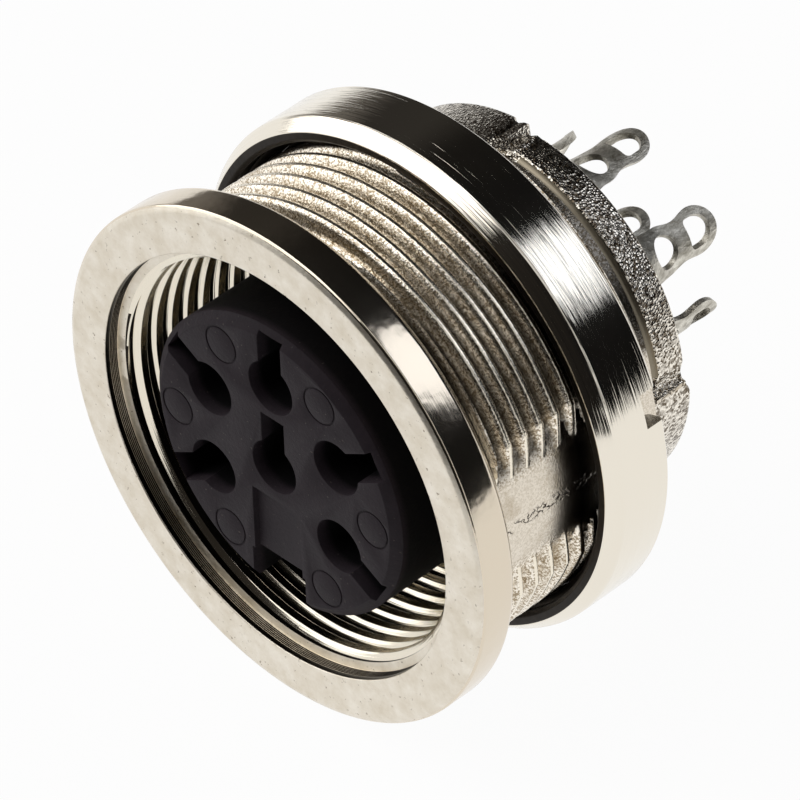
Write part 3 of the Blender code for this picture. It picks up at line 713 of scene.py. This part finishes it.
def nutPiece():
    s = nutSizes
    low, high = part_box("ring_nut")
    radius = high.x
    boreEdge = radius - s["bevel"] - s["land"]
    outline = soften([
        (boreEdge, low.y, 0.03 * mm),
        (radius - s["bevel"], low.y, 0.05 * mm),
        (radius, low.y + s["bevelDepth"], 0.12 * mm),
        (radius, high.y - s["edge"], 0.03 * mm),
        (radius - s["edge"], high.y, 0.03 * mm),
        (s["bore"] + s["edge"], high.y, 0.03 * mm),
        (s["bore"], high.y - s["edge"], 0.03 * mm),
        (s["bore"], low.y + boreEdge - s["bore"], 0.03 * mm),
    ])
    points = []
    for number, (r, y) in enumerate(outline):
        # Painted shade: the nut's front land and bore get the dark plate.
        inner = y < high.y - s["edge"] / 2 and r < radius - s["bevel"] - s["bevelMargin"]
        paintedShade = inner and (y == low.y or r < boreEdge + s["edge"])
        points.append(((0, number), 1 if paintedShade else 0, r, y))
    columns = []
    for index in range(nutColumns):
        turn = fullTurn * index / nutColumns
        columns.append([(key, skin, onRing(r, turn, y)) for key, skin, r, y in points])
    nut = newPiece("nutLook", spunMesh("nutLook", columns, [brushedSkin, paintedShadeSkin], {}))
    half = s["notchWidth"] / 2
    floor, top = s["notchFloor"], radius + half
    slot = [(-half, floor), (half, floor), (half, top), (-half, top)]
    tools = []
    for side in range(2):
        outline = turnOutline(slot, notchTurn + math.pi * side)
        tools.append(prism("notch", outline, high.y - s["notchDepth"], high.y + s["notchDepth"]))
    cutAway(nut, tools)
    return nut


def spiralTree(skin):
    # A tapered ridge carried along a right-hand helix on the Y axis.
    tree, given = newTree("threadRidge", ("Pitch", "Radius", "Height", "Crest", "Base", "Start", "Turns"))
    spiral = outputOf(tree, "GeometryNodeCurveSpiral", {
        "Resolution": 144, "Reverse": True, "Rotations": given["Turns"], "Start Radius": given["Radius"],
        "End Radius": given["Radius"], "Height": maths(tree, "MULTIPLY", given["Pitch"], given["Turns"])})
    upright = outputOf(tree, "GeometryNodeSetCurveNormal", {"Curve": spiral}, mode="Z_UP")
    section = outputOf(tree, "GeometryNodeCurvePrimitiveQuadrilateral", {
        "Offset": 0.0, "Bottom Width": given["Base"], "Top Width": given["Crest"],
        "Height": given["Height"]}, mode="TRAPEZOID")
    inward = outputOf(tree, "GeometryNodeTransform", {"Geometry": section, "Rotation": (0, 0, math.pi / 2)})
    ridge = outputOf(tree, "GeometryNodeCurveToMesh", {
        "Curve": upright, "Profile Curve": inward, "Fill Caps": True})
    laid = outputOf(tree, "GeometryNodeTransform", {"Geometry": ridge, "Rotation": (-math.pi / 2, 0, 0)})
    start = outputOf(tree, "ShaderNodeCombineXYZ", {"Y": given["Start"]})
    placed = outputOf(tree, "GeometryNodeTransform", {
        "Geometry": laid, "Rotation": (0, -math.pi / 2, 0), "Translation": start})
    return endTree(tree, placed, skin)


def joinInto(piece, other, skin):
    form = bmesh.new()
    form.from_mesh(other.data)
    for face in form.faces:
        face.material_index = skin
    form.from_mesh(piece.data)
    form.to_mesh(piece.data)
    form.free()
    bpy.data.objects.remove(other, do_unlink=True)


nutLook = nutPiece()
# Painted shade: the nut's thread ridge gets the dark plate.
joinInto(nutLook, grow("nutThread", spiralTree(paintedShadeSkin), nutThread), 1)
smooth(nutLook.data)
print("ring nut ready", len(nutLook.data.polygons))


# Contact carrier

carrierSizes = inMetres({
    "bevel": 0.37, "bevelDepth": 0.27, "holeRadius": 1.05, "slotWidth": 1.1, "slotReach": 2.16,
    "circle": 3.5, "keyWidth": 2.55, "keyFloor": 4.3, "keyReach": 7.0, "keyLength": 8.4,
    "pocketInset": 0.12, "pocketGap": 0.3, "pocketTop": 1.5, "pocketDepth": 0.25,
    "collarRadius": 6.45, "collarLength": 1.3, "frontRadius": 5.89, "holeDepth": 9.0, "softEdge": 0.035,
})
carrierColumns = 144
contactStep = math.radians(60)
ejectorMarks = {"Count": 6, "Circle": 4.7 * mm, "Radius": 0.71 * mm, "Line": 0.07 * mm, "Depth": 0.09 * mm}


def keyholeOutline(centre, turn):
    s = carrierSizes
    half = s["slotWidth"] / 2
    opening = math.asin(half / s["holeRadius"])
    outline = [(x, z) for z, x in arc(0, 0, s["holeRadius"], opening, fullTurn - 2 * opening, 40)]
    outline += [(-half, s["slotReach"]), (half, s["slotReach"])]
    return [(centre.x + x, centre.z + z) for x, z in turnOutline(outline, turn)]


def ejectorTree():
    # Thin rings on a circle: the lines that the ejector pins leave in the moulding's face.
    tree, given = newTree("ejectorRings", ("Circle", "Radius", "Line", "Depth", "Face"), ("Count",))
    places = outputOf(tree, "GeometryNodeMeshCircle", {
        "Vertices": given["Count"], "Radius": given["Circle"]})
    ring = outputOf(tree, "GeometryNodeCurvePrimitiveCircle", {"Resolution": 48, "Radius": given["Radius"]})
    section = outputOf(tree, "GeometryNodeCurvePrimitiveQuadrilateral", {
        "Width": given["Line"], "Height": given["Depth"]})
    line = outputOf(tree, "GeometryNodeCurveToMesh", {
        "Curve": ring, "Profile Curve": section, "Fill Caps": True})
    copies = outputOf(tree, "GeometryNodeInstanceOnPoints", {"Points": places, "Instance": line})
    upright = outputOf(tree, "GeometryNodeTransform", {"Geometry": copies, "Rotation": (math.pi / 2, 0, 0)})
    face = outputOf(tree, "ShaderNodeCombineXYZ", {"Y": given["Face"]})
    placed = outputOf(tree, "GeometryNodeTransform", {"Geometry": upright, "Translation": face})
    return endTree(tree, placed)


def contactPlaces():
    places = [(Vector((0, 0, 0)), 0.0)]
    for step in (-2, -1, 0, 1, 2):
        places.append((onRing(carrierSizes["circle"], contactStep * step, 0.0), contactStep * step))
    return places


def carrierBody(low, high):
    s = carrierSizes
    collarFront = high.y - s["collarLength"]
    outline = [
        (s["frontRadius"] - s["bevel"], low.y),
        (s["frontRadius"], low.y + s["bevelDepth"]),
        (s["frontRadius"], collarFront),
        (s["collarRadius"], collarFront),
        (s["collarRadius"], high.y),
    ]
    form = bmesh.new()
    turns = [fullTurn * index / carrierColumns for index in range(carrierColumns)]
    rings = [[form.verts.new(onRing(radius, turn, y)) for turn in turns] for radius, y in outline]
    for near, far in zip(rings, rings[1:]):
        for index in range(carrierColumns):
            following = (index + 1) % carrierColumns
            form.faces.new((near[index], near[following], far[following], far[index]))
    form.faces.new(rings[0])
    form.faces.new(rings[-1])
    return newPiece("carrierLook", closeMesh(form, "carrierLook", [mouldedSkin]))


def carrierPiece():
    s = carrierSizes
    low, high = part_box("contact_carrier")
    front = low.y
    carrier = carrierBody(low, high)
    tools = []
    for centre, turn in contactPlaces():
        tools.append(prism("keyhole", keyholeOutline(centre, turn), front - mm, front + s["holeDepth"]))
    half = s["keyWidth"] / 2
    bottom, top = -s["keyReach"], -s["keyFloor"]
    groove = [(-half, bottom), (half, bottom), (half, top), (-half, top)]
    tools.append(prism("keyGroove", groove, front - mm, front + s["keyLength"]))
    half -= s["pocketInset"]
    bottom, top = -s["keyFloor"] - s["pocketGap"], -s["pocketTop"]
    pocket = [(-half, bottom), (half, bottom), (half, top), (-half, top)]
    tools.append(prism("keyPocket", pocket, front - mm, front + s["pocketDepth"]))
    tools.append(grow("ejectorRings", ejectorTree(), {**ejectorMarks, "Face": front}))
    cutAway(carrier, tools)
    soft = carrier.modifiers.new("softEdges", "BEVEL")
    soft.width = s["softEdge"]
    soft.segments = 2
    soft.limit_method = "ANGLE"
    soft.angle_limit = math.radians(35)
    flatten(carrier)
    smooth(carrier.data, math.radians(40))
    return carrier


carrierLook = carrierPiece()
print("carrier ready", len(carrierLook.data.polygons))


# Contacts: a flat blank, rolled into a socket at the front and opened into a solder tag at the rear

contactSizes = inMetres({
    "strip": 0.25, "pinRadius": 0.725, "seam": 0.3, "socketFront": 0.8, "socketLength": 4.9,
    "tongueLength": 0.6, "tongueWidth": 0.7, "tongueRise": 0.4, "neckWidth": 2.4, "neckTaper": 0.6,
    "tagHalf": 0.86, "waistHalf": 0.74, "rootHalf": 0.92, "tagRoll": 1.4, "tagOffset": 0.42,
    "eyeRadius": 0.55, "eyeFlat": 0.45, "eyeCorner": 0.18, "rootEye": 0.58, "eyePitch": 1.65,
    "flareStart": 3.0, "flareLength": 1.7,
})
contactCuts = {"around": 26, "flare": 12, "tongue": 8}


def contactBlank(eyeCentre):
    s = contactSizes
    roll = s["pinRadius"] + s["strip"] / 2
    socketHalf = math.pi * roll - s["seam"] / 2
    rootCentre = eyeCentre - s["eyePitch"]
    flareBegin = eyeCentre - s["flareStart"]
    socketRear = s["socketFront"] + s["socketLength"]
    right = [
        (s["tongueWidth"] / 2, s["socketFront"] - s["tongueLength"]),
        (s["tongueWidth"] / 2, s["socketFront"]),
        (socketHalf, s["socketFront"]),
        (socketHalf, socketRear),
        (s["neckWidth"] / 2, socketRear + s["neckTaper"]),
        (s["neckWidth"] / 2, flareBegin),
    ]
    shoulder = [
        (s["neckWidth"] / 2, flareBegin),
        (s["rootHalf"], rootCentre),
        (s["waistHalf"], (rootCentre + eyeCentre) / 2),
        (s["tagHalf"], eyeCentre),
    ]
    for (width, along), (nextWidth, nextAlong) in zip(shoulder, shoulder[1:]):
        for step in range(1, 7):
            part = step / 6
            right.append((width + (nextWidth - width) * rampUp(part), along + (nextAlong - along) * part))
    tip = arc(0, eyeCentre, s["tagHalf"], 0, math.pi, 24)[1:]
    left = [(-across, along) for across, along in reversed(right[:-1])]
    root = arc(0, rootCentre, s["rootEye"], 0, fullTurn, 32)[:-1]
    corner = s["eyeCorner"]
    flat = eyeCentre - s["eyeFlat"] + corner
    eye = arc(-s["eyeRadius"] + corner, flat, corner, math.pi, math.pi / 2, 4)
    eye += arc(s["eyeRadius"] - corner, flat, corner, 1.5 * math.pi, math.pi / 2, 4)
    eye += arc(0, eyeCentre, s["eyeRadius"], 0, math.pi, 20)[1:-1]
    return [right + tip + left, root, eye]


def contactPattern():
    s, cuts = contactSizes, contactCuts
    low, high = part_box("contact_centre")
    eyeCentre = high.y - s["tagHalf"]
    flareBegin = eyeCentre - s["flareStart"]
    socketRoll = s["pinRadius"] + s["strip"] / 2
    form = bmesh.new()
    for outline in contactBlank(eyeCentre):
        corners = [form.verts.new((across, along, -s["strip"] / 2)) for across, along in outline]
        for first, second in zip(corners, corners[1:] + corners[:1]):
            form.edges.new((first, second))
    bmesh.ops.triangle_fill(form, edges=form.edges, use_beauty=True)
    bmesh.ops.dissolve_limit(form, angle_limit=0.01, verts=form.verts, edges=form.edges)
    planes = []
    for index in range(1, cuts["around"]):
        planes.append(((math.pi * socketRoll * (2 * index / cuts["around"] - 1), 0, 0), (1, 0, 0)))
    for index in range(cuts["flare"] + 1):
        planes.append(((0, flareBegin + s["flareLength"] * index / cuts["flare"], 0), (0, 1, 0)))
    for index in range(cuts["tongue"] + 1):
        planes.append(((0, s["socketFront"] - s["tongueLength"] * index / cuts["tongue"], 0), (0, 1, 0)))
    for origin, direction in planes:
        everything = list(form.verts) + list(form.edges) + list(form.faces)
        bmesh.ops.bisect_plane(form, geom=everything, dist=weldDistance,
                               plane_co=origin, plane_no=direction)
    pushOut(form, form.faces, (0, 0, s["strip"]))
    bmesh.ops.triangulate(form, faces=form.faces)
    for corner in form.verts:
        flat = corner.co
        flare = rampUp((flat.y - flareBegin) / s["flareLength"])
        roll = socketRoll + (s["tagRoll"] - socketRoll) * flare
        back = socketRoll + (s["tagOffset"] - socketRoll) * flare
        back += s["tongueRise"] * rampUp((s["socketFront"] - flat.y) / s["tongueLength"])
        angle = flat.x / roll
        radius = roll + flat.z
        corner.co = Vector((radius * math.sin(angle), flat.y, back - roll + radius * math.cos(angle)))
    return newPiece("contactPattern", closeMesh(form, "contactPattern", [tinnedSkin]))


def contactTree(pattern, skin):
    # Five copies on a circle with the bottom place left out, and one in the middle.
    tree, given = newTree("contactRing", ("Circle",))
    number = outputOf(tree, "GeometryNodeInputIndex")
    onCircle = maths(tree, "LESS_THAN", number, 4.5)
    turn = maths(tree, "MULTIPLY", maths(tree, "SUBTRACT", number, 2.0), contactStep)
    angle = maths(tree, "MULTIPLY", turn, onCircle)
    radius = maths(tree, "MULTIPLY", given["Circle"], onCircle)
    x = maths(tree, "MULTIPLY", radius, maths(tree, "SINE", angle))
    z = maths(tree, "MULTIPLY", radius, maths(tree, "COSINE", angle))
    line = outputOf(tree, "GeometryNodeMeshLine", {"Count": 6, "Offset": (0, 0, 0)})
    place = outputOf(tree, "ShaderNodeCombineXYZ", {"X": x, "Z": z})
    spread = outputOf(tree, "GeometryNodeSetPosition", {"Geometry": line, "Position": place})
    source = addNode(tree, "GeometryNodeObjectInfo", {"Object": pattern}).outputs["Geometry"]
    rotation = outputOf(tree, "ShaderNodeCombineXYZ", {"Y": angle})
    copies = outputOf(tree, "GeometryNodeInstanceOnPoints", {
        "Points": spread, "Instance": source, "Rotation": rotation})
    return endTree(tree, copies, skin)


pattern = contactPattern()
contactsLook = grow("contactsLook", contactTree(pattern, tinnedSkin), {"Circle": carrierSizes["circle"]})
bpy.data.objects.remove(pattern, do_unlink=True)
smooth(contactsLook.data)
print("contacts ready", len(contactsLook.data.polygons))

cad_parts["rear_insulator"].data.materials.clear()
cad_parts["rear_insulator"].data.materials.append(mouldedSkin)

contactNodes = [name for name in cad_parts
                if name.startswith("contact_") and name != "contact_carrier"]
for piece, body, nodes, slotName in (
    (housingLook, "socket", ["housing"], "nickel_casting"),
    (nutLook, "nut", ["ring_nut"], "nickel_turned"),
    (carrierLook, "socket", ["contact_carrier"], "black_moulding"),
    (contactsLook, "socket", contactNodes, "tinned_strip"),
):
    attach(piece, body)
    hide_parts(*nodes)


# Camera

cameraPlace = {
    "lens": 346.5, "sensor": 36.0,
    "location": (0.14538, -0.13528, 0.17021),
    "right": (0.70894, 0.70475, -0.02700),
    "up": (-0.44150, 0.47333, 0.76226),
    "back": (0.54999, -0.52847, 0.64671),
}


def makeCamera():
    data = bpy.data.cameras.new("camera")
    data.lens = cameraPlace["lens"]
    data.sensor_width = cameraPlace["sensor"]
    data.clip_start = 0.01
    data.clip_end = 20
    camera = newPiece("camera", data)
    axes = Matrix((cameraPlace["right"], cameraPlace["up"], cameraPlace["back"])).transposed()
    camera.matrix_world = Matrix.Translation(cameraPlace["location"]) @ axes.to_4x4()
    scene.camera = camera


# Floor, tent and cards

# In metres. A card has the places (x, y) of its two ends and the height of its top.
stageSizes = {
    "floor": 3.0, "tentRadius": 0.5,
    "blackCard": ((0.104, 0.01), (0.104, 0.16), 0.03),
    "frontCard": ((-0.04, -0.07), (0.06, -0.02), 0.035),
}


def emptyTree(owner):
    owner.use_nodes = True
    owner.node_tree.nodes.clear()
    return owner.node_tree


def seenRays(tree):
    # 1 for what is seen, straight, in a reflection or through something clear, and 0 for what only lights.
    rays = addNode(tree, "ShaderNodeLightPath").outputs
    seen = maths(tree, "MAXIMUM", rays["Is Camera Ray"], rays["Is Glossy Ray"])
    return maths(tree, "MAXIMUM", seen, rays["Is Transmission Ray"])


def floorMaterial():
    # Pale matt floor that stays white to the camera and in the metal, and keeps the object's soft shadow.
    material = bpy.data.materials.new("paleFloor")
    tree = emptyTree(material)
    matt = outputOf(tree, "ShaderNodeBsdfDiffuse", {"Color": linear("f4f3f1")})
    glow = outputOf(tree, "ShaderNodeEmission", {"Color": (1, 1, 1, 1), "Strength": 1.0})
    share = maths(tree, "MULTIPLY", seenRays(tree), 0.96)
    both = outputOf(tree, "ShaderNodeMixShader", {0: share, 1: matt, 2: glow})
    addNode(tree, "ShaderNodeOutputMaterial", {0: both})
    return material


def tentMaterial():
    # Black cloth, a little grey on the left and warm grey in front, with a narrow lit arch overhead.
    material = bpy.data.materials.new("blackTent")
    tree = emptyTree(material)
    place = addNode(tree, "ShaderNodeTexCoord").outputs["Object"]
    aim = outputOf(tree, "ShaderNodeVectorMath", {0: place}, operation="NORMALIZE")
    x, y, z = addNode(tree, "ShaderNodeSeparateXYZ", {0: aim}).outputs
    ramp = addNode(tree, "ShaderNodeValToRGB", {0: between(tree, x, -1.0, 0.0)})
    levels = ramp.color_ramp.elements
    levels[0].position, levels[0].color = 0.14, (0.16, 0.15, 0.14, 1)
    levels[1].position, levels[1].color = 1.0, (0.006, 0.006, 0.006, 1)
    for position, level in ((0.22, 0.028), (0.42, 0.032), (0.6, 0.010)):
        spot = levels.new(position)
        spot.color = (level, level * 0.93, level * 0.85, 1)
    arch = between(tree, maths(tree, "ABSOLUTE", y), 0.10, 0.16, 0.9, 0.0)
    front = between(tree, y, -0.75, -0.3, 1.0, 0.0)
    warm = outputOf(tree, "ShaderNodeVectorMath", {0: (0.012, 0.010, 0.008), 3: front}, operation="SCALE")
    dim = outputOf(tree, "ShaderNodeVectorMath", {0: ramp.outputs[0], 1: warm}, operation="ADD")
    lit = outputOf(tree, "ShaderNodeVectorMath", {0: dim, 1: arch}, operation="ADD")
    glow = outputOf(tree, "ShaderNodeEmission", {"Color": lit})
    addNode(tree, "ShaderNodeOutputMaterial", {0: glow})
    return material


def stagePiece(name, form, material):
    piece = newPiece(name, takeMesh(form, name, [material]))
    return piece


def stageSheet(name, corners, material):
    form = bmesh.new()
    form.faces.new([form.verts.new(corner) for corner in corners])
    return stagePiece(name, form, material)


def makeFloor():
    half = stageSizes["floor"] / 2
    low = cadBox[0].z
    corners = [(-half, -half, low), (half, -half, low), (half, half, low), (-half, half, low)]
    stageSheet("floor", corners, floorMaterial())


def makeTent():
    # Only reflections see the tent and the cards: they give polished metal its dark bands.
    material = tentMaterial()
    form = bmesh.new()
    bmesh.ops.create_uvsphere(form, u_segments=48, v_segments=24, radius=stageSizes["tentRadius"])
    sheets = [stagePiece("blackTent", form, material)]
    low = cadBox[0].z
    for name in ("blackCard", "frontCard"):
        near, far, top = stageSizes[name]
        sheets.append(stageSheet(name, [(*near, low), (*far, low), (*far, top), (*near, top)], material))
    for sheet in sheets:
        sheet.visible_camera = False
        sheet.visible_diffuse = False
        sheet.visible_transmission = False
        sheet.visible_shadow = False


# Lights

softboxes = {
    "rearSoftbox": {
        "toward": (0.522, 0.545, 0.655), "distance": 0.26, "size": (0.118, 0.13),
        "power": 0.075, "roll": math.radians(30), "colour": (0.93, 0.97, 1.06),
    },
    "leftSoftbox": {
        "toward": (-0.60, -0.395, 0.695), "distance": 0.34, "size": (0.38, 0.72),
        "power": 1.42, "roll": math.radians(-18), "colour": (1, 1, 1),
    },
}


def areaLight(name, toward, distance, size, power, roll, colour):
    data = bpy.data.lights.new(name, "AREA")
    data.shape = "RECTANGLE"
    data.size, data.size_y = size
    data.energy = power
    data.color = colour
    light = newPiece(name, data)
    away = Vector(toward).normalized()
    turned = away.to_track_quat("Z", "Y").to_matrix().to_4x4() @ Matrix.Rotation(roll, 4, "Z")
    light.matrix_world = Matrix.Translation(away * distance) @ turned


def makeWorld():
    world = bpy.data.worlds.new("studio")
    tree = emptyTree(world)
    level = between(tree, seenRays(tree), 0.0, 1.0, 0.1, 1.0)
    glow = outputOf(tree, "ShaderNodeBackground", {"Color": (1, 1, 1, 1), "Strength": level})
    addNode(tree, "ShaderNodeOutputWorld", {0: glow})
    scene.world = world


makeCamera()
makeFloor()
makeTent()
for name, values in softboxes.items():
    areaLight(name, **values)
makeWorld()
scene.view_settings.view_transform = "Standard"
print("stage ready")
